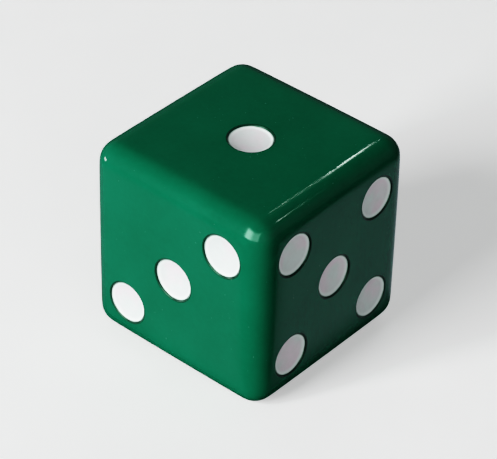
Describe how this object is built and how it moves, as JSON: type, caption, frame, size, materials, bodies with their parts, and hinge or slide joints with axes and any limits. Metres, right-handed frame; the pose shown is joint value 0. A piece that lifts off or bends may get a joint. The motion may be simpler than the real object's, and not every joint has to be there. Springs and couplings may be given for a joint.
{
  "type": "casino die",
  "caption": "Round-edged opaque cube die with dished white pips bonded into cups on its flat faces, rolled to give a random score.",
  "frame": {"origin": "middle of the cube, half a side in from every face", "axes": "+Z out of the one, -Z out of the six, +X out of the five, -X out of the two, +Y out of the four, -Y out of the three"},
  "size_m": [0.016, 0.016, 0.016],
  "materials": {
    "green_plastic": "polished opaque green plastic",
    "white_inlay": "satin white filled enamel"
  },
  "bodies": {
    "root": {"die_body": "green_plastic", "one_centre_pip": "white_inlay", "two_upper_pip": "white_inlay", "two_lower_pip": "white_inlay", "three_upper_pip": "white_inlay", "three_lower_pip": "white_inlay", "three_centre_pip": "white_inlay", "four_upper_left_pip": "white_inlay", "four_upper_right_pip": "white_inlay", "four_lower_left_pip": "white_inlay", "four_lower_right_pip": "white_inlay", "five_upper_left_pip": "white_inlay", "five_upper_right_pip": "white_inlay", "five_lower_left_pip": "white_inlay", "five_lower_right_pip": "white_inlay", "five_centre_pip": "white_inlay", "six_upper_left_pip": "white_inlay", "six_upper_right_pip": "white_inlay", "six_lower_left_pip": "white_inlay", "six_lower_right_pip": "white_inlay", "six_middle_left_pip": "white_inlay", "six_middle_right_pip": "white_inlay"}
  },
  "joints": []
}
